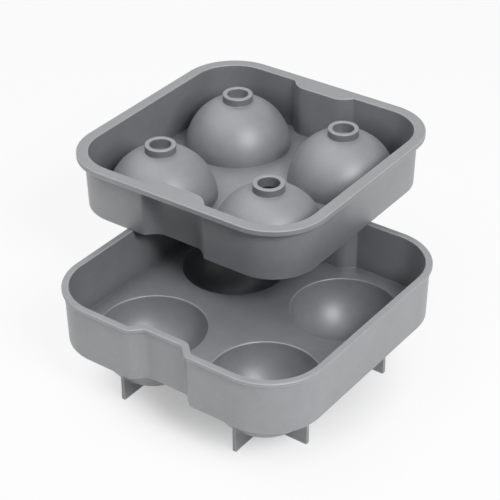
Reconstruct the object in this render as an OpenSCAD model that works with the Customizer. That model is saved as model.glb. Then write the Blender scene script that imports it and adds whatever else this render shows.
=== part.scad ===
// Silicone mould for four ice balls: a base tray with four cups on cross feet, and a lid with four
// domes and fill spouts that nests inside the base. Millimetres, +Z up, origin on the ground under
// the middle of the base. The finger notches are in the front (-Y) and back (+Y) sides.

/* [Ice balls] */
// Diameter of an ice ball
ball_d = 45; // [36:0.5:54]
// Thickness of the cups and domes
shell_t = 1.8; // [1.2:0.1:3]
// Gap between the outsides of neighbouring cups
cup_web = 7.9; // [4:0.1:16]
// Gap between the outside of a cup and the foot of the wall
cup_margin = 4.9; // [4.4:0.1:12]
// Chamfer round the mouth of each cup
cup_chamfer = 0.5; // [0.2:0.1:1]

/* [Base tray] */
// Depth from the rim down to the floor
well_depth = 23.2; // [18:0.1:30]
// Thickness of the floor
floor_t = 1.6; // [1.2:0.1:3]
// Thickness of the wall at its foot
wall_foot_t = 2; // [1.6:0.1:3]
// Lean of the inner face of the wall, in degrees
wall_draft = 1.5; // [0.5:0.1:3]
// Width of the flat rim
rim_w = 3; // [2.6:0.1:3.6]
// Height of the lip that runs round the outside of the rim
lip_h = 2.4; // [2:0.1:5]
// How far the lip stands out from the wall
lip_out = 1.1; // [0.2:0.1:1.4]
// Radius on the edges of the rim
rim_edge_r = 0.6; // [0.3:0.1:1]
// Radius of the tray's corners at the rim
corner_r = 25; // [16:0.5:30]

/* [Finger notches] */
// How far a notch steps into the side
notch_depth = 5; // [4.8:0.1:7]
// Length of the flat bottom of a notch at the rim
notch_flat = 18; // [14:0.5:28]
// Angle of the notch's shoulders to the side
notch_angle = 45; // [35:1:55]
// Radius where the side turns into a notch
mouth_r = 4.2; // [4:0.1:5]
// Radius where a shoulder meets the bottom of a notch
nook_r = 2.5; // [1:0.1:4]

/* [Cross feet] */
// Reach of a foot's fins from the axis of its cup
fin_reach = 20.9; // [15:0.1:22]
// Thickness of a fin
fin_t = 1.6; // [1.2:0.1:3]
// Radius of a fin's lower corners
fin_corner_r = 0.8; // [0.5:0.1:3]
// How far the feet stand below the cups
fin_drop = 0.4; // [0.2:0.1:3]

/* [Lid] */
// Thickness of the lid's plate
plate_t = 1.6; // [1.2:0.1:3]
// Thickness of the lid's wall
lid_wall_t = 1.6; // [1.2:0.1:2.2]
// Thickness of the flange
flange_t = 2.4; // [1.6:0.1:4]
// Radius on the outer edges of the flange
flange_edge_r = 0.3; // [0.2:0.1:1]
// Clearance between the lid's wall and the base's wall when the lid is seated
nest_gap = 0.5; // [0.3:0.1:0.7]

/* [Fill spouts] */
// Bore of a spout
spout_bore = 9.4; // [6:0.1:12]
// Thickness of a spout's wall
spout_wall = 2.1; // [1.2:0.1:3]
// Height of a spout above the crown of its dome
spout_rise = 2.6; // [1.5:0.1:8]
// Radius on a spout's upper edges
spout_edge_r = 0.5; // [0.2:0.1:0.6]

/* [Where the lid lies] */
// Lid lying back on the rim of the base, or seated inside the base
lid_place = "on_rim"; // [on_rim, seated]
// Shift of the lid along X while it lies on the rim
lid_shift_x = -36.6; // [-40:0.1:0]
// Shift of the lid along Y while it lies on the rim
lid_shift_y = 53.2; // [0:0.1:56]
// Turn of the lid about the vertical while it lies on the rim, in degrees
lid_turn = 0.6; // [0:0.1:4]

/* [Hidden] */
$fn = 96;

silicone = [0.43, 0.44, 0.43];
over = 1;            // Length by which a cut runs past a face
bend_spare = 0.4;    // Radius left on the inner side of the tightest bend
notch_lead = 4;      // Plain stretch of wall that belongs to a notch beyond its mouth
arc_steps = 3;       // Straight steps in the rounded edge of a profile
bend_steps = 4;      // Straight steps in each bend of a notch
grid = 0.01;         // Places in a profile are whole multiples of this, so that stretches meet exactly

// Balls and cups
ball_r = ball_d / 2;
cup_r = ball_r + shell_t;
ball_offset = cup_r + cup_web / 2;

// Levels, from the ground up
parting_z = cup_r + fin_drop;
foot_z = parting_z - floor_t;
rim_z = parting_z + well_depth;

// Half widths of the two outlines: the base at its rim, and the lid's wall under its flange
wall_lean = snap(well_depth * tan(wall_draft));
floor_half = ball_offset + cup_r + cup_margin;
rim_inner_half = floor_half + wall_lean;
rim_half = rim_inner_half + rim_w;
lid_half = rim_inner_half - nest_gap;
lid_inset = rim_half - lid_half;
corner_at = rim_half - corner_r;
wall_in = rim_w + wall_lean;
flange_top = well_depth + flange_t;
spout_top = cup_r + spout_rise;
lid_mouth_r = lid_wall_t + wall_lean + bend_spare;
notch_end = snap(notch_mouth(lid_inset) + notch_lead);

// Nearest place on the grid
function snap(v) = round(v / grid) * grid;

// Points of a rounded edge: centre c, radius r, from angle a to angle b
function arc_points(c, r, a, b) =
    [for (i = [0:arc_steps]) let (t = a + (b - a) * i / arc_steps)
        [snap(c[0] + r * cos(t)), snap(c[1] + r * sin(t))]];

// Half the length of the notch at its bottom and at its mouth, on an outline moved inwards by inset
function notch_nook(inset) = notch_flat / 2 + inset * tan(notch_angle / 2);
function notch_mouth(inset) = notch_nook(inset) + notch_depth / tan(notch_angle);

// Places one copy of the children on the axis of each ball
module at_each_ball() {
    for (sx = [-1, 1], sy = [-1, 1])
        translate([sx * ball_offset, sy * ball_offset, 0]) children();
}

// Straight stretch of a profile, drawn outwards along +X, centred on Y
module run(profile, length) {
    rotate([90, 0, 0]) linear_extrude(length, center = true) polygon(profile);
}

// Stations along the notch in a side that faces +X, from its +Y end to its -Y end. Each station is
// its X, its Y and the direction that faces outwards there
function notch_path(inset, bend_out, bend_in) =
    let (
        mouth = notch_mouth(inset) + bend_out * tan(notch_angle / 2),
        nook = notch_nook(inset) - bend_in * tan(notch_angle / 2),
        turns = [for (i = [0:bend_steps]) -notch_angle * i / bend_steps],
        half = concat(
            [[0, notch_end, 0]],
            [for (a = turns) [bend_out * (cos(a) - 1), mouth + bend_out * sin(a), a]],
            [for (i = [bend_steps:-1:0]) let (a = turns[i])
                [bend_in * (1 - cos(a)) - notch_depth, nook - bend_in * sin(a), a]]
        )
    )
    concat(half, [for (i = [len(half) - 1:-1:0]) [half[i][0], -half[i][1], -half[i][2]]]);

// Profile carried along the stations of a path as one closed solid
module sweep(profile, path) {
    n = len(profile);
    last = len(path) - 1;
    polyhedron(
        points = [for (s = path, p = profile) [s[0] + p[0] * cos(s[2]), s[1] + p[0] * sin(s[2]), p[1]]],
        faces = concat(
            [[for (j = [0:n - 1]) j]],
            [[for (j = [n - 1:-1:0]) last * n + j]],
            [for (i = [0:last - 1], j = [0:n - 1]) let (k = (j + 1) % n)
                [i * n + j, (i + 1) * n + j, (i + 1) * n + k, i * n + k]]
        )
    );
}

// Profile carried round the four corners of an outline that lies inset from the rim's outline
module corners(profile, inset) {
    for (a = [0:90:270]) rotate([0, 0, a]) translate([corner_at, corner_at, 0])
        rotate_extrude(angle = 90) translate([corner_r - inset, 0]) polygon(profile);
}

// Profile carried right round the notched outline: plain left and right, notched front and back
module sweep_notched(profile, inset, bend_out, bend_in) {
    corners(profile, inset);
    for (a = [0, 180]) rotate([0, 0, a])
        translate([rim_half - inset, 0, 0]) run(profile, 2 * corner_at);
    for (a = [90, 270]) rotate([0, 0, a]) translate([rim_half - inset, 0, 0]) {
        sweep(profile, notch_path(inset, bend_out, bend_in));
        for (side = [-1, 1]) translate([0, side * (corner_at + notch_end) / 2, 0])
            run(profile, corner_at - notch_end);
    }
}

// Profile carried right round the plain outline of the rim
module sweep_plain(profile) {
    corners(profile, 0);
    for (a = [0:90:270]) rotate([0, 0, a])
        translate([rim_half, 0, 0]) run(profile, 2 * corner_at);
}

// Plan of a notch on an outline that lies inset from the rim's outline, for the side that faces +X
module notch_plan(inset, reach) {
    half = rim_half - inset;
    nook = notch_nook(inset);
    spread = nook + (notch_depth + reach) / tan(notch_angle);
    polygon([
        [half - notch_depth, -nook],
        [half + reach, -spread],
        [half + reach, spread],
        [half - notch_depth, nook],
    ]);
}

// Plan of a plate that fills the notched outline
module plate_plan(inset) {
    half = rim_half - inset;
    difference() {
        union() {
            square([2 * half, 2 * corner_at], center = true);
            square([2 * corner_at, 2 * half], center = true);
            for (a = [0:90:270]) rotate(a) translate([corner_at, corner_at]) circle(corner_r - inset);
        }
        for (a = [90, 270]) rotate(a) notch_plan(inset, over);
    }
}

// Wall of the base in section: leaning faces, a lip round the top and a flat rim with rounded edges
function base_wall_profile() =
    let (lip_z = rim_z - lip_h)
    concat(
        [[-wall_in, foot_z], [wall_foot_t - wall_in, foot_z], [-lip_out, lip_z], [0, lip_z + lip_out]],
        arc_points([-rim_edge_r, rim_z - rim_edge_r], rim_edge_r, 0, 90),
        arc_points([rim_edge_r - rim_w, rim_z - rim_edge_r], rim_edge_r, 90, 180),
        [[-wall_in, parting_z]]
    );

// Wall of the lid in section, from the underside of its plate to the top of its flange
function lid_wall_profile() =
    let (foot_in = wall_lean + lid_wall_t)
    concat(
        [[-foot_in, 0], [-wall_lean, 0], [0, well_depth], [0, flange_top]],
        arc_points([rim_edge_r - lid_wall_t, flange_top - rim_edge_r], rim_edge_r, 90, 180),
        [[-foot_in, plate_t]]
    );

// Flange of the lid in section, reaching halfway into the lid's wall
function flange_profile() =
    let (root = lid_inset + lid_wall_t / 2)
    concat(
        [[-root, well_depth]],
        arc_points([-flange_edge_r, well_depth + flange_edge_r], flange_edge_r, -90, 0),
        arc_points([-flange_edge_r, flange_top - flange_edge_r], flange_edge_r, 0, 90),
        [[-root, flange_top]]
    );

// Cross of two fins under one cup, from the ground up into the cup's wall, or into the floor where they reach past it
module cross_foot() {
    cup_drop = sqrt(max(0, pow(ball_r + shell_t / 2, 2) - pow(fin_reach, 2)));
    fin_top = parting_z - max(cup_drop, floor_t / 2);
    inner = fin_reach - fin_corner_r;
    for (a = [0, 90]) rotate([90, 0, a]) linear_extrude(fin_t, center = true)
        polygon(concat(
            [[fin_reach, fin_top], [-fin_reach, fin_top]],
            arc_points([-inner, fin_corner_r], fin_corner_r, 180, 270),
            arc_points([inner, fin_corner_r], fin_corner_r, 270, 360)
        ));
}

// Lower half of the outside of a cup
module cup_outside() {
    translate([0, 0, parting_z]) intersection() {
        sphere(cup_r);
        translate([0, 0, -cup_r]) cube(2 * cup_r, center = true);
    }
}

// Hollow of a cup with the chamfer at its mouth
module cup_hollow() {
    translate([0, 0, parting_z]) {
        sphere(ball_r);
        translate([0, 0, -cup_chamfer])
            cylinder(h = cup_chamfer + over, r1 = ball_r, r2 = ball_r + cup_chamfer + over);
    }
}

// Base: tray with a leaning wall, two finger notches, four cups and their cross feet
module base_tray() {
    color(silicone) difference() {
        union() {
            sweep_notched(base_wall_profile(), 0, mouth_r, nook_r);
            translate([0, 0, foot_z]) linear_extrude(floor_t) plate_plan(wall_in - wall_foot_t / 2);
            at_each_ball() {
                cup_outside();
                cross_foot();
            }
        }
        at_each_ball() cup_hollow();
    }
}

// Outside of a dome with its spout, standing on the lid's plate
module dome_outside() {
    spout_r = spout_bore / 2 + spout_wall;
    intersection() {
        sphere(cup_r);
        translate([0, 0, cup_r]) cube(2 * cup_r, center = true);
    }
    rotate_extrude() polygon(concat(
        [[0, ball_r], [spout_r, ball_r - spout_wall]],
        arc_points([spout_r - spout_edge_r, spout_top - spout_edge_r], spout_edge_r, 0, 90),
        [[0, spout_top]]
    ));
}

// Hollow of a dome with the bore of its spout
module dome_hollow() {
    sphere(ball_r);
    cylinder(h = spout_top + over, d = spout_bore);
}

// Lid in its own frame: underside at Z = 0, middle on the Z axis
module lid_body() {
    difference() {
        union() {
            sweep_notched(lid_wall_profile(), lid_inset, lid_mouth_r, nook_r + lid_inset);
            sweep_plain(flange_profile());
            translate([0, 0, well_depth]) linear_extrude(flange_t)
                for (a = [90, 270]) rotate(a) notch_plan(lid_inset + lid_wall_t / 2, 0);
            linear_extrude(plate_t) plate_plan(lid_inset + wall_lean + lid_wall_t / 2);
            at_each_ball() dome_outside();
        }
        at_each_ball() dome_hollow();
    }
}

// Lid where it lies: back on the rim of the base, or seated on the floor inside it
module lid() {
    seated = lid_place == "seated";
    shift = seated ? [0, 0, parting_z] : [lid_shift_x, lid_shift_y, rim_z];
    color(silicone) translate(shift) rotate([0, 0, seated ? 0 : lid_turn]) lid_body();
}

base_tray();
lid();
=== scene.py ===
"""Looks of a grey silicone mould for four ice balls: a base tray on cross feet and the lid on its rim.

Each tray is one closed skin, worked out as grids of points that share their borders. Sizes are in millimetres
until a mesh is made from them.
"""

import logging
import math
from dataclasses import dataclass, field
from enum import Enum

import bpy
import numpy as np
from mathutils import Matrix, Vector


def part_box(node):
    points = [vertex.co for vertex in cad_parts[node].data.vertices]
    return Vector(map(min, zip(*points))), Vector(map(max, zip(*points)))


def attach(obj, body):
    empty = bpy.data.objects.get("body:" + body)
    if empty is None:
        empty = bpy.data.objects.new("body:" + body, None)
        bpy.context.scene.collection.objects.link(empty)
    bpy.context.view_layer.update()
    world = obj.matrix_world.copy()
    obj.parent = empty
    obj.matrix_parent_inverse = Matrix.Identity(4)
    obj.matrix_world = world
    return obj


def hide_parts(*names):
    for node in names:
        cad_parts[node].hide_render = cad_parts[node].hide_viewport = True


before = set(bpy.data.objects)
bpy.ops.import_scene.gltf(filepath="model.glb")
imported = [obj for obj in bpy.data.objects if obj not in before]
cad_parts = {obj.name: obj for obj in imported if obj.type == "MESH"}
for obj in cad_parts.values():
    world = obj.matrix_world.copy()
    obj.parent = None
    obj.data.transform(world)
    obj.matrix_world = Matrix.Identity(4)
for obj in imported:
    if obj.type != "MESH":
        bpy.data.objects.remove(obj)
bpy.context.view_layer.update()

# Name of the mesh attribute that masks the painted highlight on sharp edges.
PAINTED_HIGHLIGHT_MARK = "edge"
MM = 0.001
SAME_PLACE = 1e-9
LOG = logging.getLogger("ice_ball_mould")

# Sockets of a Mix node that mixes colours, which share their names with those for numbers.
MIX_SHARE, MIX_FIRST, MIX_SECOND, MIX_RESULT = 0, 6, 7, 2

Array = np.ndarray
Colour = tuple[float, float, float]
Point = tuple[float, float, float]
Pair = tuple[float, float]
Tree = bpy.types.NodeTree
Socket = bpy.types.NodeSocket


class Quarter(Enum):
    """The four quarters of a tray, as the signs of X and Y."""

    BACK_RIGHT = (1, 1)
    FRONT_RIGHT = (1, -1)
    FRONT_LEFT = (-1, -1)
    BACK_LEFT = (-1, 1)


class Operation(Enum):
    """What a Math node makes of its two values."""

    GREATER = "MAXIMUM"
    PRODUCT = "MULTIPLY"


@dataclass(frozen=True)
class Corner:
    """A corner of a profile: how far in from an outline, how high, and the radius that rounds it."""

    inset: float
    height: float
    radius: float = 0.0


def lerp(start: Array, end: Array, share: Array) -> Array:
    """Mixes start and end: start plus share times their difference."""
    return start + (end - start) * share


def eased(share: Array) -> Array:
    """Share that starts and ends slowly: its square times three less twice itself."""
    return share * share * (3 - 2 * share)


def spread(start: float, end: float, step: float) -> Array:
    """Even places from start to end, no further apart than step."""
    return np.linspace(start, end, max(1, math.ceil(abs(end - start) / step)) + 1)


def paired(first: Array | float, second: Array | float) -> Array:
    """Points of a plane from their two coordinates, either of which may be one number for all of them."""
    return np.stack(np.broadcast_arrays(first, second), axis=-1)


def rays(angle: Array) -> Array:
    """Unit vectors at angles: their cosines and sines."""
    return paired(np.cos(angle), np.sin(angle))


def arc(centre: Pair, radius: float, start: float, end: float, steps: int) -> Array:
    """Points of an arc: the centre plus radius times the unit vectors at angles from start to end."""
    return np.asarray(centre) + radius * rays(np.linspace(start, end, steps + 1))


def joined(*runs: Array) -> Array:
    """Runs of points end to end, where the first point of a run that repeats the last one is left out.

    Args:
        *runs: Points of each run, with a row each.

    Returns:
        The points of all the runs.
    """
    kept = [runs[0]]
    for run in runs[1:]:
        same = np.allclose(kept[-1][-1], run[0], atol=SAME_PLACE)
        kept.append(run[1:] if same else run)
    return np.concatenate(kept)


def straight(start: Array, end: Array, hold: float, step: float) -> Array:
    """Points of a straight run, with one close to each end that keeps the run flat next to a rounding.

    A run shorter than three holds has its two ends alone.

    Args:
        start: First point.
        end: Last point.
        hold: Distance of the close points from the ends.
        step: Greatest distance between the points between them.

    Returns:
        Points with a row each.
    """
    length = float(np.linalg.norm(end - start))
    if length < 3 * hold:
        return np.stack([start, end])
    places = np.concatenate([[0.0], spread(hold, length - hold, step), [length]]) / length
    return lerp(start, end, places[:, None])


def rounded(corners: list[Corner], hold: float, steps: int = 5, step: float = 6.0) -> Array:
    """Profile through corners, each rounded by an arc that touches both of its sides.

    The arc's ends lie radius over tan(half the corner's angle) from the corner, and its centre lies on the
    line that halves the angle.

    Args:
        corners: Corners in order. The first and the last are the ends of the profile.
        hold: Distance from a rounding at which a point keeps a straight run flat.
        steps: Chords in a rounding.
        step: Greatest length of a chord in a straight run.

    Returns:
        Inset and height of each point.
    """
    places = np.array([(c.inset, c.height) for c in corners])
    bends = [places[:1]]
    for before, here, after, corner in zip(places, places[1:], places[2:], corners[1:]):
        back = (before - here) / np.linalg.norm(before - here)
        ahead = (after - here) / np.linalg.norm(after - here)
        half = 0.5 * math.acos(float(np.clip(back @ ahead, -1, 1)))
        middle = (back + ahead) / np.linalg.norm(back + ahead)
        centre = here + middle * corner.radius / math.sin(half)
        first = here + back * corner.radius / math.tan(half) - centre
        last = here + ahead * corner.radius / math.tan(half) - centre
        start = math.atan2(first[1], first[0])
        turn = math.remainder(math.atan2(last[1], last[0]) - start, math.tau)
        bends.append(arc(tuple(centre), corner.radius, start, start + turn, steps))
    bends.append(places[-1:])
    runs = [bends[0]]
    for bend, following in zip(bends, bends[1:]):
        runs += [straight(bend[-1], following[0], hold, step), following]
    return joined(*runs)


def swept(points: Array, facing: Array, profile: Array) -> Array:
    """Profile carried along an outline: each point of it moves in by its inset and up to its height.

    Args:
        points: Stations of the outline.
        facing: Outward direction at each station.
        profile: Inset and height by row.

    Returns:
        Grid of points, with a row for each point of the profile and a column for each station.
    """
    flat = points[None] - profile[:, 0, None, None] * facing[None]
    height = np.broadcast_to(profile[:, 1, None, None], flat.shape[:2] + (1,))
    return np.concatenate([flat, height], axis=-1)


class Skin:
    """Grids of points that are welded where they meet into one closed skin.

    Points weld that lie in the same cell of a fine lattice. The lattice is shifted by part of a cell, so that
    round numbers lie well inside their cells.
    """

    CELL = 1e-4
    CELL_SHIFT = 0.37

    def __init__(self, grids: list[Array]) -> None:
        """Takes the grids of one quarter of a tray and mirrors them into all four.

        Args:
            grids: Points by row and column. Rows and then columns turn the same way round on every grid.
        """
        self.points: list[Array] = []
        self.faces: list[Array] = []
        self.count = 0
        for quarter in Quarter:
            for grid in grids:
                self.add(grid, quarter)

    def add(self, grid: Array, quarter: Quarter) -> None:
        """Adds a grid, mirrored into a quarter of the tray.

        Args:
            grid: Points by row and column.
            quarter: Where it goes. A mirror in one axis alone turns its faces round again.
        """
        rows, columns, _ = grid.shape
        index = self.count + np.arange(rows * columns).reshape(rows, columns)
        around = [index[:-1, :-1], index[:-1, 1:], index[1:, 1:], index[1:, :-1]]
        faces = np.stack(around, axis=-1).reshape(-1, 4)
        sign_x, sign_y = quarter.value
        self.points.append((grid * (sign_x, sign_y, 1)).reshape(-1, 3))
        self.faces.append(faces[:, ::-1] if sign_x * sign_y < 0 else faces)
        self.count += rows * columns

    def mesh(self, name: str, place: Matrix) -> bpy.types.Mesh:
        """Welds the grids into a mesh.

        Points of the same cell become one vertex, a four-sided face that loses a corner by that becomes a
        triangle, and one that loses two goes.

        Args:
            name: Name of the mesh.
            place: Where the skin lies in the part's frame, in metres.

        Returns:
            The mesh, smooth, with its place in its vertices and its sharp edges marked for the painted
            highlight.
        """
        points = np.concatenate(self.points)
        cells = np.floor(points / self.CELL + self.CELL_SHIFT).astype(np.int64)
        _, first, same = np.unique(cells, axis=0, return_index=True, return_inverse=True)
        faces = same.reshape(-1)[np.concatenate(self.faces)]
        keep = faces != np.roll(faces, -1, axis=1)
        whole = keep.sum(axis=1) > 2
        faces, keep = faces[whole], keep[whole]
        loops = faces[keep].astype(np.int32)
        sides = keep.sum(axis=1)
        starts = np.concatenate([[0], np.cumsum(sides)[:-1]]).astype(np.int32)
        mesh = bpy.data.meshes.new(name)
        mesh.vertices.add(len(first))
        mesh.vertices.foreach_set("co", (points[first] * MM).astype(np.float32).ravel())
        mesh.loops.add(len(loops))
        mesh.loops.foreach_set("vertex_index", loops)
        mesh.polygons.add(len(sides))
        mesh.polygons.foreach_set("loop_start", starts)
        mesh.polygons.foreach_set("use_smooth", np.ones(len(sides), dtype=bool))
        mesh.update(calc_edges=True)
        mesh.transform(place)
        mesh.validate()
        mark_painted_highlight(mesh)
        return mesh


def mark_painted_highlight(mesh: bpy.types.Mesh, sharp_r: float = 0.4) -> None:
    """Gives a mesh the mask of its painted edge highlight: how sharply it bends outwards, from 0 where it is
    flat to 1.

    The bend along an edge of a face is how far the normal turns towards it, over its length. A vertex takes
    the greatest bend of its edges, times the radius that counts as sharp.

    Args:
        mesh: A closed, smooth mesh.
        sharp_r: Radius of a bend that counts as 1, in millimetres.
    """
    ends = np.empty(2 * len(mesh.edges), dtype=np.int32)
    mesh.edges.foreach_get("vertices", ends)
    ends = ends.reshape(-1, 2)
    places = np.empty(3 * len(mesh.vertices), dtype=np.float32)
    mesh.vertices.foreach_get("co", places)
    facing = np.empty_like(places)
    mesh.vertex_normals.foreach_get("vector", facing)
    along = np.diff(places.reshape(-1, 3)[ends], axis=1)[:, 0]
    turn = np.diff(facing.reshape(-1, 3)[ends], axis=1)[:, 0]
    bend = (along * turn).sum(axis=1) / (along**2).sum(axis=1)
    edge = np.zeros(len(mesh.vertices), dtype=np.float32)
    for end in ends.T:
        np.maximum.at(edge, end, bend)
    # Mask by which the finish lifts the colour: a painted highlight on sharp edges.
    mark = mesh.attributes.new(PAINTED_HIGHLIGHT_MARK, "FLOAT", "POINT")
    mark.data.foreach_set("value", np.clip(edge * sharp_r * MM, 0, 1))


@dataclass(frozen=True)
class BallSizes:
    """Sizes of the ice balls and of the shells round them, which both trays share."""

    ball_r: float = 22.5
    shell_t: float = 1.8
    offset: float = 28.25

    @property
    def shell_r(self) -> float:
        """Radius of the outside of a cup or dome."""
        return self.ball_r + self.shell_t


@dataclass(frozen=True)
class NestSizes:
    """Sizes of the outline and the wall that both trays share, so that the lid nests in the base."""

    half: float = 61.06
    corner_at: float = 36.06
    well_depth: float = 23.2
    wall_lean: float = 0.61
    notch_flat: float = 9.0
    notch_depth: float = 5.0
    notch_angle: float = math.radians(45)
    nook_r: float = 2.5


@dataclass(frozen=True)
class Outline:
    """Quarter of a tray's outline: half a finger notch, a straight, a round corner and half a plain side.

    The stations run from the middle of the back side to the middle of the right side. Each has a point and
    the direction that faces outwards there, so the outline moved in by any inset is point minus inset times
    direction.
    """

    half: float
    corner_at: float
    flat: float
    depth: float
    mouth_r: float
    nook_r: float
    angle: float
    step: float = 1.9
    shoulder_step: float = 0.4
    corner_steps: int = 26
    bend_steps: int = 6

    def stations(self) -> tuple[Array, Array]:
        """Points of the outline and the directions that face outwards there.

        The notch's bends are arcs that its slanting shoulder touches, so their centres lie the radius times
        tan(half the notch's angle) from where the sides would meet.

        Returns:
            Two arrays with a row for each station.
        """
        up, side = math.pi / 2, math.tan(self.angle / 2)
        nook_x = self.flat - self.nook_r * side
        mouth_x = self.flat + self.depth / math.tan(self.angle) + self.mouth_r * side
        bottom = self.half - self.depth
        ray = rays(np.linspace(up, up + self.angle, self.bend_steps + 1))
        round_ray = rays(np.linspace(up, 0, self.corner_steps + 1))
        flat = paired(spread(0, nook_x, self.step)[:-1], bottom)
        nook = np.array([nook_x, bottom + self.nook_r]) - self.nook_r * ray
        mouth = np.array([mouth_x, self.half - self.mouth_r]) + self.mouth_r * ray[::-1]
        shoulder = lerp(nook[-1], mouth[0], spread(0, 1, self.shoulder_step)[1:-1, None])
        back = paired(spread(mouth_x, self.corner_at, self.step)[1:-1], self.half)
        corner = self.corner_at + (self.half - self.corner_at) * round_ray
        right = paired(self.half, spread(self.corner_at, 0, self.step)[1:])
        runs = [flat, nook, shoulder, mouth, back, corner, right]
        to_back, to_right = np.array([0.0, 1.0]), np.array([1.0, 0.0])
        facing = [to_back, ray, ray[-1], ray[::-1], to_back, round_ray, to_right]
        directions = [np.broadcast_to(faced, run.shape) for faced, run in zip(facing, runs)]
        return np.concatenate(runs), np.concatenate(directions)


@dataclass(frozen=True)
class Cell:
    """The square quarter of a plate round one ball, between the tray's outline and the two middle lines."""

    offset: float
    side_steps: int = 32
    smooth: int = 13
    rows: tuple[float, ...] = (0.0, 0.1, 0.5, 0.9, 1.0)

    def ring(self, edge: Array) -> Array:
        """Closed ring of points round the quarter: along the outline, then along the middle lines and back.

        Args:
            edge: Points of the plate's outline by station, from the back to the right.

        Returns:
            The outline's points and those of the middle lines, clockwise from above.
        """
        reach_x, reach_y = edge[-1, 0], edge[0, 1]
        front = paired(np.linspace(reach_x, 0, self.side_steps + 1)[1:], 0.0)
        left = paired(0.0, np.linspace(0, reach_y, self.side_steps + 1)[1:-1])
        return np.concatenate([edge, front, left])

    def polar(self, ring: Array) -> tuple[Array, Array]:
        """Distance and angle of each ring point from the ball's axis, with the angle falling steadily."""
        away = ring - self.offset
        return np.hypot(away[:, 0], away[:, 1]), np.unwrap(np.arctan2(away[:, 1], away[:, 0]))

    def even(self, angle: Array) -> Array:
        """Angles with their spacing evened out: each is the mean of those near it along the ring.

        The steady fall of one turn is taken off before and put back after, so the ring's ends meet.

        Args:
            angle: Angle of each ring point.

        Returns:
            As many angles.
        """
        count = len(angle)
        trend = -math.tau * np.arange(count) / count
        waves = angle - trend
        shifts = np.arange(self.smooth) - self.smooth // 2
        return trend + np.mean([np.roll(waves, int(s)) for s in shifts], axis=0)

    def columns(self, ring: Array) -> Array:
        """Angles at which the ring's columns meet a circle round the ball."""
        return self.even(self.polar(ring)[1])

    def plate(self, ring: Array, radius: float, height: float) -> Array:
        """Flat grid from the ring in to a circle round the ball.

        A point's distance and angle from the ball's axis both run from the ring's to the circle's.

        Args:
            ring: Points round the quarter.
            radius: Radius of the circle.
            height: Height of the plate.

        Returns:
            Grid of points, with the first column again at the end.
        """
        far, angle = self.polar(ring)
        share = np.array(self.rows)[:, None]
        turned = lerp(angle, self.columns(ring), share)
        return self.wrapped(lerp(far, radius, share), turned, np.full(len(self.rows), height))

    def wrapped(self, radius: Array, angle: Array, height: Array) -> Array:
        """Grid of points round the ball's axis: its place plus distance times the unit vector at the angle.

        Args:
            radius: Distances by row and column.
            angle: Angles by row and column.
            height: Height of each row.

        Returns:
            Grid of points, with the first column again at the end.
        """
        flat = self.offset + radius[..., None] * rays(angle)
        level = np.broadcast_to(height[:, None, None], flat.shape[:2] + (1,))
        grid = np.concatenate([flat, level], axis=-1)
        return np.concatenate([grid, grid[:, :1]], axis=1)

    def turned(self, profile: Array, angle: Array) -> Array:
        """Profile of radius and height turned round the ball's axis, with a row for each of its points."""
        radius = np.broadcast_to(profile[:, :1], (len(profile), angle.shape[-1]))
        return self.wrapped(radius, np.broadcast_to(angle, radius.shape), profile[:, 1])


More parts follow.
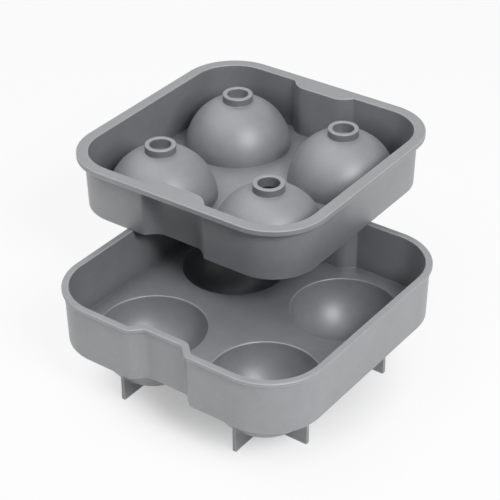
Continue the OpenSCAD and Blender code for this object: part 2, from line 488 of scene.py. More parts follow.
@dataclass(frozen=True)
class CrossFoot:
    """Cross of two thin fins under a cup, which the tray stands on."""

    reach: float = 20.9
    thick: float = 1.6
    corner_r: float = 0.8
    edge_r: float = 0.3
    drop: float = 0.4
    ball_steps: int = 13
    tall_steps: int = 6
    corner_steps: int = 5
    step: float = 1.6
    directions: tuple[float, ...] = tuple(math.radians(a) for a in (90, 0, -90, -180))

    def section(self) -> tuple[Array, Array]:
        """Section of a fin's rounded edge.

        Returns:
            Places across the edge, and how far the rounding sets each of them back.
        """
        half, edge = self.thick / 2, self.edge_r
        turn = np.array([0.0, math.pi / 4, math.pi / 2])
        across = half - edge + edge * np.cos(turn)
        back = edge - edge * np.sin(turn)
        return np.concatenate([-across, [0.0], across[::-1]]), np.concatenate([back, [0.0], back[::-1]])

    def along(self) -> tuple[Array, Array]:
        """Lower edge of a fin, round its corner and then straight.

        Returns:
            Places from the fin's end to the middle of the cross, and the angle of the lower corner there.
        """
        turn = np.linspace(0, math.pi / 2, self.corner_steps + 1)
        inner = self.reach - self.corner_r
        corner = inner + (self.corner_r - self.edge_r) * np.cos(turn)
        flat = spread(inner, self.thick / 2, self.step)[1:]
        return np.concatenate([corner, flat]), np.concatenate([turn, np.full(len(flat), math.pi / 2)])

    def grids(self, cell: Cell, shell_r: float, angle: Array, lean: float) -> list[Array]:
        """Outside of a cup with the fins growing out of it, from the fillet under the floor to the ground.

        The outside is a ball. Its columns draw together on to the ends of the fins, and between the fins they
        spread evenly from one fin's face to the next. A fin's faces fall straight from the ball to its edge,
        and the edge's rounded section follows the end, the lower corner and the bottom.

        Args:
            cell: The quarter that the cup is in.
            shell_r: Radius of the outside of the cup.
            angle: Angles of the columns at the fillet.
            lean: Angle below the ball's middle at which the fillet ends.

        Returns:
            Grids that share their borders.
        """
        across, back = self.section()
        places, turn = self.along()
        middle_z = shell_r + self.drop
        width = len(across)
        starts = [int(np.argmin(np.abs(angle - d))) - width // 2 for d in self.directions]
        order = (starts[0] + np.arange(len(angle))) % len(angle)
        rolled = np.unwrap(angle[order])
        rolled += math.tau * round((self.directions[0] - rolled[width // 2]) / math.tau)
        starts = [(s - starts[0]) % len(angle) for s in starts] + [len(angle)]
        rolled = np.append(rolled, rolled[0] - math.tau)
        end_x = self.reach - back
        end_r, end_turn = np.hypot(end_x, across), np.arctan2(across, end_x)
        rows_r = np.hypot(places, self.thick / 2)
        face_turn = np.arcsin(self.thick / 2 / rows_r)

        # Where the plain ball ends: on the fins' ends, and on a circle through their corners between them.
        border_r = np.full(len(rolled), end_r[0])
        border_turn = rolled.copy()
        shares: list[Array] = []
        headings = [*self.directions, self.directions[0] - math.tau]
        for heading, nearest, start, following in zip(headings, headings[1:], starts, starts[1:]):
            fin = slice(start, start + width)
            border_r[fin] = end_r
            border_turn[fin] = heading - end_turn
            between = slice(start + width - 1, following + 1)
            sector = rolled[between]
            share = (sector - sector[0]) / (sector[-1] - sector[0])
            shares.append(share)
            border_turn[between] = lerp(heading - face_turn[0], nearest + face_turn[0], share)
        border_r[-1] = end_r[0]

        def on_ball(radius: Array, turned: Array) -> Array:
            """Points of the outside of the cup at a distance and angle from its axis."""
            height = middle_z - np.sqrt(shell_r**2 - radius**2)[..., None]
            return np.concatenate([cell.offset + radius[..., None] * rays(turned), height], axis=-1)

        down = np.linspace(0, 1, self.ball_steps + 1)[:, None]
        fall = lerp(lean, -np.arccos(border_r / shell_r)[None], down)
        grids = [on_ball(shell_r * np.cos(fall), lerp(rolled, border_turn, eased(down)))]

        drop = np.linspace(0, 1, self.tall_steps + 1)
        inner = self.reach - self.corner_r
        edge_low = self.corner_r - (self.corner_r - self.edge_r) * np.sin(turn)
        bend = self.corner_r - back
        bend_turn = turn[1:self.corner_steps + 1, None]
        ball_z = middle_z - np.sqrt(shell_r**2 - rows_r**2)
        end_z = middle_z - np.sqrt(shell_r**2 - end_r**2)
        face_z = lerp(ball_z[:, None], edge_low[:, None], drop)
        for heading, nearest, share in zip(headings, headings[1:], shares):
            ahead = np.array([math.cos(heading), math.sin(heading)])
            sideways = np.array([ahead[1], -ahead[0]])

            def in_fin(forward: Array, lateral: Array | float, height: Array) -> Array:
                """Points of this fin: the cross's middle plus places along the fin and across it.

                Args:
                    forward: Places along the fin.
                    lateral: Places across it.
                    height: Heights above the ground.

                Returns:
                    Grid of points.
                """
                forward, lateral, height = np.broadcast_arrays(forward, lateral, height)
                flat = cell.offset + forward[..., None] * ahead + lateral[..., None] * sideways
                return np.concatenate([flat, height[..., None]], axis=-1)

            sector_turn = lerp((heading - face_turn)[:, None], (nearest + face_turn)[:, None], share)
            grids.append(on_ball(np.broadcast_to(rows_r[:, None], sector_turn.shape), sector_turn))
            grids.append(in_fin(places[:, None], -self.thick / 2, face_z))
            grids.append(in_fin(places[:, None], self.thick / 2, face_z)[:, ::-1])
            end = in_fin(end_x, across, lerp(end_z, self.corner_r, drop[:, None]))
            low = in_fin(inner + bend * np.cos(bend_turn), across, self.corner_r - bend * np.sin(bend_turn))
            flat = in_fin(places[self.corner_steps + 1:, None], across, back)
            grids.append(np.concatenate([end, low, flat]))
        x, y = np.meshgrid(across, -across)
        low = np.minimum(*np.meshgrid(back, back))
        grids.append(np.stack([cell.offset + x, cell.offset + y, low], axis=-1))
        return grids


def noise(tree: Tree, place: Socket, scale: float, detail: float, roughness: float = 0.5) -> Socket:
    """Adds a noise.

    Args:
        tree: Node tree that it goes into.
        place: Socket of the coordinates.
        scale: Waves in a metre.
        detail: Number of finer layers.
        roughness: How strong each finer layer is.

    Returns:
        Socket of the noise, from 0 to 1.
    """
    node = tree.nodes.new("ShaderNodeTexNoise")
    node.inputs["Scale"].default_value = scale
    node.inputs["Detail"].default_value = detail
    node.inputs["Roughness"].default_value = roughness
    tree.links.new(place, node.inputs["Vector"])
    return node.outputs["Fac"]


def ranged(tree: Tree, value: Socket, read: Pair, made: Pair) -> bpy.types.ShaderNodeMapRange:
    """Adds a node that carries a value over from one range to another and holds it there.

    Args:
        tree: Node tree that it goes into.
        value: Socket of the value.
        read: Range of the value.
        made: Range of the result.

    Returns:
        The node.
    """
    node = tree.nodes.new("ShaderNodeMapRange")
    node.inputs["From Min"].default_value, node.inputs["From Max"].default_value = read
    node.inputs["To Min"].default_value, node.inputs["To Max"].default_value = made
    tree.links.new(value, node.inputs["Value"])
    return node


def worked_out(tree: Tree, operation: Operation, first: Socket, second: Socket) -> Socket:
    """Adds a node that works out a number from two others.

    Args:
        tree: Node tree that it goes into.
        operation: What it makes of them.
        first: Socket of the first number.
        second: Socket of the second number.

    Returns:
        Socket of the result.
    """
    node = tree.nodes.new("ShaderNodeMath")
    node.operation = operation.value
    tree.links.new(first, node.inputs[0])
    tree.links.new(second, node.inputs[1])
    return node.outputs["Value"]


def shaded(tree: Tree, colour: Socket, share: Socket) -> Socket:
    """Adds a node that multiplies a colour by a share.

    Args:
        tree: Node tree that it goes into.
        colour: Socket of the colour.
        share: Socket of the share.

    Returns:
        Socket of the product.
    """
    node = tree.nodes.new("ShaderNodeMix")
    node.data_type = "RGBA"
    node.blend_type = "MULTIPLY"
    node.inputs[MIX_SHARE].default_value = 1.0
    tree.links.new(colour, node.inputs[MIX_FIRST])
    tree.links.new(share, node.inputs[MIX_SECOND])
    return node.outputs[MIX_RESULT]


@dataclass(frozen=True)
class SiliconeWithPaintedLight:
    """Satin grey silicone with a fine grain: faintly mottled, painted shade in hollows, painted highlight on
    edges.

    Lengths are in metres, and scales in waves to the metre. Each pair of ends says between which values of a
    noise, of open space or of an edge's mark its effect runs.
    """

    colour: Colour
    mottle: float = 0.12
    mottle_ends: Pair = (0.3, 0.7)
    cloud_scale: float = 45.0
    cloud_detail: float = 7.0
    cloud_roughness: float = 0.9
    # Painted shade: the piece's own ambient occlusion darkens its colour in hollows.
    painted_shade_reach: float = 0.010
    painted_shade_kept: float = 0.45
    painted_shade_ends: Pair = (0.3, 0.95)
    painted_shade_samples: int = 16
    # Painted highlight: the sharp-edge mark lifts the colour paler.
    painted_highlight_lift: float = 0.5
    painted_highlight_ends: Pair = (0.6, 0.9)
    roughness: float = 0.44
    patchiness: float = 0.05
    ior: float = 1.6
    specular: float = 1.0
    grain_scale: float = 2600.0
    grain_detail: float = 2.0
    grain_depth: float = 0.00002
    grain_strength: float = 0.25

    def tint(self, tree: Tree, clouds: Socket) -> Socket:
        """Adds the mottle: a ramp from a little darker than the colour to a little paler.

        Args:
            tree: Node tree of the material.
            clouds: Socket of the noise that the ramp follows.

        Returns:
            Socket of the mottled colour.
        """
        ramp = tree.nodes.new("ShaderNodeValToRGB")
        low, high = ramp.color_ramp.elements
        low.position, high.position = self.mottle_ends
        low.color = (*[c * (1 - self.mottle) for c in self.colour], 1)
        high.color = (*[c * (1 + self.mottle) for c in self.colour], 1)
        tree.links.new(clouds, ramp.inputs["Fac"])
        return ramp.outputs["Color"]

    def painted_shade_and_highlight(self, tree: Tree) -> Socket:
        """Adds painted light to the colour: painted shade in its hollows and a painted highlight on its sharp
        edges.

        The share of open space round a point darkens the colour where walls of the same piece meet, as
        painted shade, and the mark of a sharp edge lifts it, as a painted highlight.

        Args:
            tree: Node tree of the material.

        Returns:
            Socket of the number that the colour is multiplied by.
        """
        # Painted shade: ambient occlusion darkens the colour where the piece's own walls close round a point.
        hollow = tree.nodes.new("ShaderNodeAmbientOcclusion")
        hollow.samples = self.painted_shade_samples
        hollow.only_local = True
        hollow.inputs["Distance"].default_value = self.painted_shade_reach
        # Painted highlight: the sharp-edge mark lifts the colour.
        edge = tree.nodes.new("ShaderNodeAttribute")
        edge.attribute_name = PAINTED_HIGHLIGHT_MARK
        depth = ranged(tree, hollow.outputs["AO"], self.painted_shade_ends, (self.painted_shade_kept, 1.0))
        lift = ranged(tree, edge.outputs["Fac"], self.painted_highlight_ends, (1.0, 1.0 + self.painted_highlight_lift))
        return worked_out(tree, Operation.PRODUCT, depth.outputs["Result"], lift.outputs["Result"])

    def grain(self, tree: Tree, place: Socket) -> Socket:
        """Adds the grain of a blasted mould: a bump of fine noise.

        Args:
            tree: Node tree of the material.
            place: Socket of the coordinates.

        Returns:
            Socket of the bumped normal.
        """
        bump = tree.nodes.new("ShaderNodeBump")
        bump.inputs["Strength"].default_value = self.grain_strength
        bump.inputs["Distance"].default_value = self.grain_depth
        tree.links.new(noise(tree, place, self.grain_scale, self.grain_detail), bump.inputs["Height"])
        return bump.outputs["Normal"]

    def material(self, name: str) -> bpy.types.Material:
        """Makes the finish as a material. Its colour and its roughness follow the same mottle.

        Args:
            name: Name of the material.

        Returns:
            The material, on Object coordinates.
        """
        material = bpy.data.materials.new(name)
        material.use_nodes = True
        tree = material.node_tree
        shader = tree.nodes["Principled BSDF"]
        shader.inputs["IOR"].default_value = self.ior
        shader.inputs["Specular IOR Level"].default_value = self.specular
        place = tree.nodes.new("ShaderNodeTexCoord").outputs["Object"]
        clouds = noise(tree, place, self.cloud_scale, self.cloud_detail, self.cloud_roughness)
        satin = (self.roughness - self.patchiness, self.roughness + self.patchiness)
        gloss = ranged(tree, clouds, (0.0, 1.0), satin)
        # The base colour carries painted shade in the hollows and a painted highlight on sharp edges.
        tree.links.new(shaded(tree, self.tint(tree, clouds), self.painted_shade_and_highlight(tree)), shader.inputs["Base Color"])
        tree.links.new(gloss.outputs["Result"], shader.inputs["Roughness"])
        tree.links.new(self.grain(tree, place), shader.inputs["Normal"])
        return material


GREY: Colour = (0.2135, 0.2170, 0.2300)
BASE_SILICONE = SiliconeWithPaintedLight(GREY)
LID_SILICONE = SiliconeWithPaintedLight(GREY, roughness=0.5)


@dataclass
class BaseTray:
    """Base: a tray with a leaning wall, two finger notches, four cups and their cross feet."""

    finish: SiliconeWithPaintedLight
    balls: BallSizes = field(default_factory=BallSizes)
    nest: NestSizes = field(default_factory=NestSizes)
    foot: CrossFoot = field(default_factory=CrossFoot)
    floor_t: float = 1.6
    wall_foot_t: float = 2.0
    wall_foot_r: float = 0.4
    rim_w: float = 3.0
    rim_edge_r: float = 0.4
    lip_h: float = 2.4
    lip_out: float = 1.1
    lip_edge_r: float = 0.5
    lip_low_r: float = 0.25
    lip_root_r: float = 0.3
    mouth_r: float = 4.2
    cup_edge_r: float = 0.6
    cup_root_r: float = 0.6
    root_r: float = 0.15
    hold: float = 0.15
    under_run: float = 1.0
    cup_steps: int = 34
    edge_steps: int = 5
    root_steps: int = 4

    @property
    def floor_z(self) -> float:
        """Height of the floor, which is the middle of the ice balls."""
        return self.balls.shell_r + self.foot.drop

    @property
    def rim_z(self) -> float:
        """Height of the rim."""
        return self.floor_z + self.nest.well_depth

    def outline(self) -> Outline:
        """Outline of the tray at its rim, from which every inset of the wall's section is measured.

        Returns:
            The outline.
        """
        n = self.nest
        return Outline(
            n.half, n.corner_at, n.notch_flat, n.notch_depth, self.mouth_r, n.nook_r, n.notch_angle
        )

    def wall_profile(self) -> Array:
        """Section of the wall: up from the floor, over the rim and the lip, and down to the underside.

        Returns:
            Inset from the rim's outline and height by row.
        """
        foot_in = self.rim_w + self.nest.wall_lean
        foot_out = foot_in - self.wall_foot_t
        bottom = self.floor_z - self.floor_t
        lip_z = self.rim_z - self.lip_h
        return rounded(
            [
                Corner(foot_in + self.root_r + self.hold, self.floor_z),
                Corner(foot_in, self.floor_z, self.root_r),
                Corner(self.rim_w, self.rim_z, self.rim_edge_r),
                Corner(0, self.rim_z, self.lip_edge_r),
                Corner(0, lip_z + self.lip_out, self.lip_low_r),
                Corner(self.lip_out, lip_z, self.lip_root_r),
                Corner(foot_out, bottom, self.wall_foot_r),
                Corner(foot_out + self.under_run, bottom),
            ],
            self.hold,
        )

    def cup_profile(self) -> Array:
        """Inside of a cup, from its bottom to its rounded edge: an arc of the ball and one that touches it.

        Returns:
            Radius and height by row.
        """
        ball, edge = self.balls.ball_r, self.cup_edge_r
        reach = math.sqrt((ball + edge) ** 2 - edge**2)
        lean = math.atan2(-edge, reach)
        hollow = arc((0, 0), ball, -math.pi / 2, lean, self.cup_steps)
        hollow[0, 0] = 0.0
        lip = arc((reach, -edge), edge, math.pi + lean, math.pi / 2, self.edge_steps)
        return joined(hollow, lip) + (0, self.floor_z)

    def under_fillet(self) -> tuple[Array, float]:
        """Fillet between the underside of the floor and the outside of a cup: an arc that touches both.

        Returns:
            Radius and height by row, and the angle below the ball's middle at which the fillet ends.
        """
        ball, bend = self.balls.shell_r, self.cup_root_r
        low = -self.floor_t - bend
        reach = math.sqrt((ball + bend) ** 2 - low**2)
        lean = math.atan2(low, reach)
        fillet = arc((reach, low), bend, math.pi / 2, math.pi + lean, self.root_steps)
        return fillet + (0, self.floor_z), lean

    def build(self) -> bpy.types.Object:
        """Builds the tray as one skin and dresses it.

        Returns:
            The tray's object.
        """
        points, facing = self.outline().stations()
        wall = swept(points, facing, self.wall_profile())
        cell = Cell(self.balls.offset)
        cup = self.cup_profile()
        fillet, lean = self.under_fillet()
        floor_ring = cell.ring(wall[0, :, :2])
        under_ring = cell.ring(wall[-1, :, :2])
        under_columns = cell.columns(under_ring)
        grids = [
            cell.turned(cup, cell.columns(floor_ring)),
            cell.plate(floor_ring, cup[-1, 0], self.floor_z)[::-1],
            wall,
            cell.plate(under_ring, fillet[0, 0], wall[-1, 0, 2]),
            cell.turned(fillet, under_columns),
            *self.foot.grids(cell, self.balls.shell_r, under_columns, lean),
        ]
        mesh = Skin(grids).mesh("base_tray_skin", Matrix())
        return dressed(mesh, self.finish, "base", "base_tray", "base_silicone")


@dataclass
class Lid:
    """Lid: a plate with four domes and fill spouts inside a notched wall with a plain flange."""

    finish: SiliconeWithPaintedLight
    balls: BallSizes = field(default_factory=BallSizes)
    nest: NestSizes = field(default_factory=NestSizes)
    inset: float = 3.5
    flange_t: float = 2.4
    flange_edge_r: float = 0.3
    flange_run: float = 0.3
    plate_t: float = 1.6
    wall_t: float = 1.6
    wall_run: float = 0.8
    wall_top_r: float = 0.4
    wall_neck_r: float = 0.4
    wall_foot_r: float = 0.4
    bend_spare: float = 0.4
    brim_r: float = 0.4
    spout_bore_r: float = 4.7
    spout_wall: float = 2.1
    spout_rise: float = 2.6
    spout_edge_r: float = 0.5
    spout_neck_r: float = 0.4
    spout_root_r: float = 0.4
    root_r: float = 0.15
    hold: float = 0.12
    under_run: float = 1.0
    spout_step: float = 1.0
    ball_steps: int = 28
    edge_steps: int = 5
    root_steps: int = 4
    turn: float = math.radians(0.6)

    @property
    def flange_top(self) -> float:
        """Height of the top of the flange above the underside of the lid."""
        return self.nest.well_depth + self.flange_t

    def outline(self) -> Outline:
        """Outline of the lid's wall under the flange, which lies inside the base's rim all round.

        Returns:
            The outline. Its bends are those of the base moved in.
        """
        n = self.nest
        return Outline(
            n.half - self.inset,
            n.corner_at,
            n.notch_flat + self.inset * math.tan(n.notch_angle / 2),
            n.notch_depth,
            self.wall_t + n.wall_lean + self.bend_spare,
            n.nook_r + self.inset,
            n.notch_angle,
        )

    def flange_outline(self, points: Array, facing: Array) -> tuple[Array, Array]:
        """Plain outline of the flange, station by station beside the notched wall.

        A station of the back side keeps its X, and the others move straight out.

        Args:
            points: Stations of the wall's outline.
            facing: Outward direction at each.

        Returns:
            Points of the flange's outline and its outward directions.
        """
        back = (points[:, 0] < self.nest.corner_at) & (points[:, 1] > self.nest.corner_at)
        level = paired(points[:, 0], self.nest.half)
        plain = np.where(back[:, None], level, points + self.inset * facing)
        return plain, np.where(back[:, None], (0.0, 1.0), facing)

    def inner_profile(self) -> Array:
        """Section of the wall's inner face, from the plate up to the flange's inner edge.

        Returns:
            Inset from the wall's outline and height by row.
        """
        foot = self.wall_t + self.nest.wall_lean
        return rounded(
            [
                Corner(foot + self.root_r + self.hold, self.plate_t),
                Corner(foot, self.plate_t, self.root_r),
                Corner(self.wall_t, self.flange_top, self.wall_top_r),
                Corner(self.wall_t - self.wall_run, self.flange_top),
            ],
            self.hold,
        )

    def flange_profile(self) -> Array:
        """Section of the flange's outer edge, from its top round to its underside.

        Returns:
            Inset from the flange's outline and height by row.
        """
        edge, low = self.flange_edge_r, self.nest.well_depth
        return rounded(
            [
                Corner(edge + self.flange_run, self.flange_top),
                Corner(0, self.flange_top, edge),
                Corner(0, low, edge),
                Corner(edge + self.flange_run, low),
            ],
            self.hold,
        )

    def outer_profile(self) -> Array:
        """Section of the wall's outer face, from under the flange down to the underside of the plate.

        Returns:
            Inset from the wall's outline and height by row.
        """
        lean, top = self.nest.wall_lean, self.nest.well_depth
        return rounded(
            [
                Corner(-self.wall_run, top),
                Corner(0, top, self.wall_neck_r),
                Corner(lean, 0, self.wall_foot_r),
                Corner(lean + self.under_run, 0),
            ],
            self.hold,
        )

    def dome_profile(self) -> Array:
        """Section of a dome: up its inside, through the spout and down its outside to the plate.

        Each rounding is an arc that touches the ball, and its centre lies the two radii from the ball's.

        Returns:
            Radius and height by row.
        """
        ball, shell = self.balls.ball_r, self.balls.shell_r
        bore, spout = self.spout_bore_r, self.spout_bore_r + self.spout_wall
        top, edge = shell + self.spout_rise, self.spout_edge_r
        brim, neck, root, foot = self.brim_r, self.spout_neck_r, self.spout_root_r, self.root_r
        half_turn, quarter_turn = math.pi, math.pi / 2

        mouth_x = math.sqrt((ball + brim) ** 2 - brim**2)
        mouth_lean = math.atan2(brim, mouth_x)
        neck_z = math.sqrt((ball + neck) ** 2 - (bore + neck) ** 2)
        neck_lean = math.atan2(neck_z, bore + neck)
        root_z = math.sqrt((shell + root) ** 2 - (spout + root) ** 2)
        root_lean = math.atan2(root_z, spout + root)
        foot_z = self.plate_t + foot
        foot_x = math.sqrt((shell + foot) ** 2 - foot_z**2)
        foot_lean = math.atan2(foot_z, foot_x)

        mouth = arc((mouth_x, brim), brim, 3 * quarter_turn, half_turn + mouth_lean, self.root_steps)
        inside = arc((0, 0), ball, mouth_lean, neck_lean, self.ball_steps)
        throat = arc((bore + neck, neck_z), neck, half_turn + neck_lean, half_turn, self.root_steps)
        inner_edge = arc((bore + edge, top - edge), edge, half_turn, quarter_turn, self.edge_steps)
        outer_edge = arc((spout - edge, top - edge), edge, quarter_turn, 0, self.edge_steps)
        crook = arc((spout + root, root_z), root, half_turn, half_turn + root_lean, self.root_steps)
        outside = arc((0, 0), shell, root_lean, foot_lean, self.ball_steps)
        skirt = arc((foot_x, foot_z), foot, half_turn + foot_lean, 3 * quarter_turn, self.root_steps)
        return joined(
            mouth,
            inside,
            throat,
            straight(throat[-1], inner_edge[0], self.hold, self.spout_step),
            inner_edge,
            straight(inner_edge[-1], outer_edge[0], self.hold, self.spout_step),
            outer_edge,
            straight(outer_edge[-1], crook[0], self.hold, self.spout_step),
            crook,
            outside,
            skirt,
        )

    def place(self) -> Matrix:
        """Where the lid lies: its own frame turned a little and moved on to the base's rim.

        Returns:
            The move, in metres.
        """
        low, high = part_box("lid")
        middle = (low + high) / 2
        return Matrix.Translation((middle.x, middle.y, low.z)) @ Matrix.Rotation(self.turn, 4, "Z")

    def build(self) -> bpy.types.Object:
        """Builds the lid as one skin and dresses it.

        The dome's columns turn from those of the underside to those of the plate's top by the length that
        the section has run.

        Returns:
            The lid's object.
        """
        points, facing = self.outline().stations()
        inner = swept(points, facing, self.inner_profile())
        flange = swept(*self.flange_outline(points, facing), self.flange_profile())
        outer = swept(points, facing, self.outer_profile())
        thirds = np.array([1 / 3, 2 / 3])[:, None, None]
        over, under = lerp(inner[-1], flange[0], thirds), lerp(flange[-1], outer[0], thirds)
        wall = np.concatenate([inner, over, flange, under, outer])
        cell = Cell(self.balls.offset)
        dome = self.dome_profile()
        top_ring = cell.ring(wall[0, :, :2])
        low_ring = cell.ring(wall[-1, :, :2])
        length = np.concatenate([[0], np.cumsum(np.linalg.norm(np.diff(dome, axis=0), axis=1))])
        share = (length / length[-1])[:, None]
        grids = [
            cell.plate(low_ring, dome[0, 0], 0.0),
            cell.turned(dome, lerp(cell.columns(low_ring), cell.columns(top_ring), share)),
            cell.plate(top_ring, dome[-1, 0], self.plate_t)[::-1],
            wall,
        ]
        mesh = Skin(grids).mesh("lid_skin", self.place())
        return dressed(mesh, self.finish, "lid", "lid", "lid_silicone")


def dressed(
    mesh: bpy.types.Mesh, finish: SiliconeWithPaintedLight, body: str, node: str, slot: str
) -> bpy.types.Object:
    """Puts a mesh into the scene with its finish, in place of a node of the frame.

    Args:
        mesh: The skin of a piece.
        finish: What it is made of.
        body: Body that it rides on.
        node: Node that it stands for.
        slot: Material slot of the record that its finish belongs to.

    Returns:
        The piece.
    """
    piece = bpy.data.objects.new(mesh.name, mesh)
    bpy.context.scene.collection.objects.link(piece)
    mesh.materials.append(finish.material(slot))
    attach(piece, body)
    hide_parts(node)
    return piece


def direction(azimuth: float, elevation: float) -> Vector:
    """Unit vector towards an azimuth, measured from the front to the right, and an elevation, in degrees."""
    a, e = math.radians(azimuth), math.radians(elevation)
    return Vector((math.sin(a) * math.cos(e), -math.cos(a) * math.cos(e), math.sin(e)))


def lamp(name: str, size: Pair, power: float, colour: Colour) -> bpy.types.Object:
    """Makes a flat lamp that the camera doesn't see.

    Args:
        name: Name of the lamp.
        size: Its length and width, in metres.
        power: Its power, in watts.
        colour: Tint of its light.

    Returns:
        The lamp, at the origin and facing down.
    """
    data = bpy.data.lights.new(name, "AREA")
    data.shape = "RECTANGLE"
    data.size, data.size_y = size
    data.energy = power
    data.color = colour
    made = bpy.data.objects.new(name, data)
    made.visible_camera = False
    bpy.context.scene.collection.objects.link(made)
    return made


@dataclass(frozen=True)
class Softbox:
    """A square lamp that faces the object. Angles are in degrees, lengths in metres and power in watts."""

    name: str
    azimuth: float
    elevation: float
    distance: float
    size: float
    power: float
    colour: Colour = (1.0, 1.0, 1.0)

    def hang(self, middle: Vector) -> None:
        """Hangs the lamp where it faces a point.

        Args:
            middle: The point, in metres.
        """
        away = direction(self.azimuth, self.elevation)
        turn = away.to_track_quat("Z", "Y").to_matrix().to_4x4()
        box = lamp(self.name, (self.size, self.size), self.power, self.colour)
        box.matrix_world = Matrix.Translation(middle + away * self.distance) @ turn


@dataclass(frozen=True)
class LightTable:
    """Lit floor round the foot of the object: four panels that face up, laid round a square hole.

    Lengths are in metres. The panels go from the front one to the right, the back and the left.
    """

    hole: float = 0.075
    reach: float = 0.42
    height: float = 0.0003
    brightness: tuple[float, float, float, float] = (0.60, 0.86, 1.08, 1.08)
    colour: Colour = (1.0, 0.985, 0.94)

    def lay(self) -> None:
        """Lays the panels, each a quarter turn from the last, where they don't show in the gloss.

        A panel's power is its brightness times pi times its area.
        """
        long, wide = self.reach + self.hole, self.reach - self.hole
        in_front = Matrix.Translation(((self.hole - self.reach) / 2, -long / 2, self.height))
        face_up = Matrix.Rotation(math.pi, 4, "X")
        for number, bright in enumerate(self.brightness):
            power = bright * math.pi * long * wide
            panel = lamp(f"table_panel_{number}", (long, wide), power, self.colour)
            panel.matrix_world = Matrix.Rotation(number * math.pi / 2, 4, "Z") @ in_front @ face_up
            panel.visible_glossy = False


def seen_directly(tree: Tree) -> Socket:
    """Adds nodes that give 1 to camera, glossy and transmission rays and 0 to the others.

    Args:
        tree: Node tree of a stage material or of the world.

    Returns:
        The socket that carries the greatest of the three.
    """
    path = tree.nodes.new("ShaderNodeLightPath").outputs
    greatest = path["Is Camera Ray"]
    for kind in ("Is Glossy Ray", "Is Transmission Ray"):
        greatest = worked_out(tree, Operation.GREATER, greatest, path[kind])
    return greatest


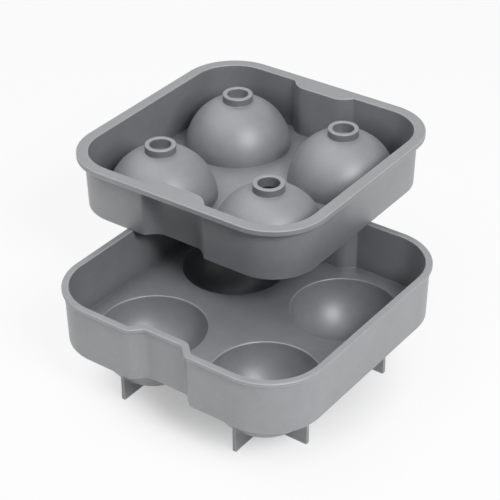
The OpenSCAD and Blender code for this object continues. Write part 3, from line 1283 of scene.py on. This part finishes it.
@dataclass
class Studio:
    """White floor, soft lamps, white surroundings and the camera.

    The camera's distance, target, lens and sensor and the point that the lamps face are in millimetres. Its
    near limit and the floor's lengths are in metres.
    """

    azimuth: float = 36.27
    elevation: float = 33.0
    roll: float = -0.4
    distance: float = 649.0
    focal: float = 117.72
    sensor: float = 36.0
    near: float = 0.01
    target: Point = (5.2, -6.2, 63.3)
    middle: Point = (0.0, 20.0, 40.0)
    floor_size: float = 6.0
    floor_colour: Colour = (0.9, 0.9, 0.9)
    floor_roughness: float = 0.9
    backdrop_colour: Colour = (1.0, 1.0, 1.0)
    # Backdrop white share near and far from the foot, and between which distances: low near the foot, a
    # painted shadow.
    white_share_painted_shadow: Pair = (0.38, 0.87)
    painted_shadow_span: Pair = (0.036, 0.072)
    table: LightTable = field(default_factory=LightTable)
    lamps: tuple[Softbox, ...] = (
        Softbox("key_box", 66, 42, 1.2, 0.36, 8.6),
        Softbox("right_box", 96, 50, 1.2, 0.8, 1.4, (0.9, 0.95, 1.0)),
        Softbox("left_box", 312, 70, 1.2, 1.3, 7.8),
        Softbox("left_back_box", 266, 50, 1.2, 0.8, 0.7, (0.9, 0.95, 1.0)),
        Softbox("back_box", 216, 45, 1.2, 0.8, 1.6, (1.0, 0.97, 0.9)),
    )

    def camera(self) -> None:
        """Makes the camera, looking down at the target from the photograph's side."""
        data = bpy.data.cameras.new("camera")
        data.lens = self.focal
        data.sensor_width = self.sensor
        data.clip_start = self.near
        back = direction(self.azimuth, self.elevation)
        eye = Vector(self.target) * MM + back * self.distance * MM
        roll = Matrix.Rotation(math.radians(self.roll), 4, "Z")
        turn = back.to_track_quat("Z", "Y").to_matrix().to_4x4() @ roll
        camera = bpy.data.objects.new("camera", data)
        camera.matrix_world = Matrix.Translation(eye) @ turn
        bpy.context.scene.collection.objects.link(camera)
        bpy.context.scene.camera = camera

    def floor(self) -> None:
        """Makes the white floor that the mould stands on."""
        half = self.floor_size / 2
        corners = [(-half, -half, 0), (half, -half, 0), (half, half, 0), (-half, half, 0)]
        mesh = bpy.data.meshes.new("floor")
        mesh.from_pydata(corners, [], [(0, 1, 2, 3)])
        floor = bpy.data.objects.new("floor", mesh)
        bpy.context.scene.collection.objects.link(floor)
        mesh.materials.append(self.paper())

    def paper(self) -> bpy.types.Material:
        """Makes the floor's white paper, which keeps the object's shadow but shows it faintly.

        Camera, glossy and transmission rays see the paper mixed with the backdrop's white. The share of white
        grows from the foot of the object outwards, which paints a shadow round the foot: the floor there is
        darker even where no light is blocked, so the shadow is deepest there.

        Returns:
            A matt white material.
        """
        material = bpy.data.materials.new("white_paper")
        material.use_nodes = True
        tree = material.node_tree
        matt = tree.nodes["Principled BSDF"]
        matt.inputs["Base Color"].default_value = (*self.floor_colour, 1)
        matt.inputs["Roughness"].default_value = self.floor_roughness
        matt.inputs["Specular IOR Level"].default_value = 0.0
        white = tree.nodes.new("ShaderNodeEmission")
        white.inputs["Color"].default_value = (*self.backdrop_colour, 1)
        white.inputs["Strength"].default_value = 1.0
        away = tree.nodes.new("ShaderNodeVectorMath")
        away.operation = "LENGTH"
        tree.links.new(tree.nodes.new("ShaderNodeTexCoord").outputs["Object"], away.inputs[0])
        # Painted shadow: less backdrop white near the foot darkens the floor there.
        white_share_painted_shadow = ranged(tree, away.outputs["Value"], self.painted_shadow_span, self.white_share_painted_shadow)
        white_share_painted_shadow.interpolation_type = "SMOOTHSTEP"
        share = worked_out(tree, Operation.PRODUCT, white_share_painted_shadow.outputs["Result"], seen_directly(tree))
        mix = tree.nodes.new("ShaderNodeMixShader")
        tree.links.new(share, mix.inputs["Fac"])
        tree.links.new(matt.outputs["BSDF"], mix.inputs[1])
        tree.links.new(white.outputs["Emission"], mix.inputs[2])
        tree.links.new(mix.outputs["Shader"], tree.nodes["Material Output"].inputs["Surface"])
        return material

    def world(self) -> None:
        """Makes the surroundings, which look white and give no light of their own."""
        world = bpy.data.worlds.new("surroundings")
        bpy.context.scene.world = world
        world.use_nodes = True
        tree = world.node_tree
        backdrop = tree.nodes["Background"]
        backdrop.inputs["Color"].default_value = (*self.backdrop_colour, 1)
        tree.links.new(seen_directly(tree), backdrop.inputs["Strength"])

    def light(self) -> None:
        """Hangs the lamps, each facing the middle of the object, and lays the light table."""
        for box in self.lamps:
            box.hang(Vector(self.middle) * MM)
        self.table.lay()

    def build(self) -> None:
        """Sets the stage, the light and the camera."""
        self.camera()
        self.floor()
        self.world()
        self.light()
        bpy.context.scene.view_settings.view_transform = "Standard"


def main() -> None:
    """Builds the studio and both trays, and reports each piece."""
    logging.basicConfig(level=logging.INFO, format="%(message)s")
    Studio().build()
    for tray in (BaseTray(BASE_SILICONE), Lid(LID_SILICONE)):
        piece = tray.build()
        mesh = piece.data
        LOG.info("%s: %d vertices, %d faces", piece.name, len(mesh.vertices), len(mesh.polygons))


if __name__ == "__main__":
    main()
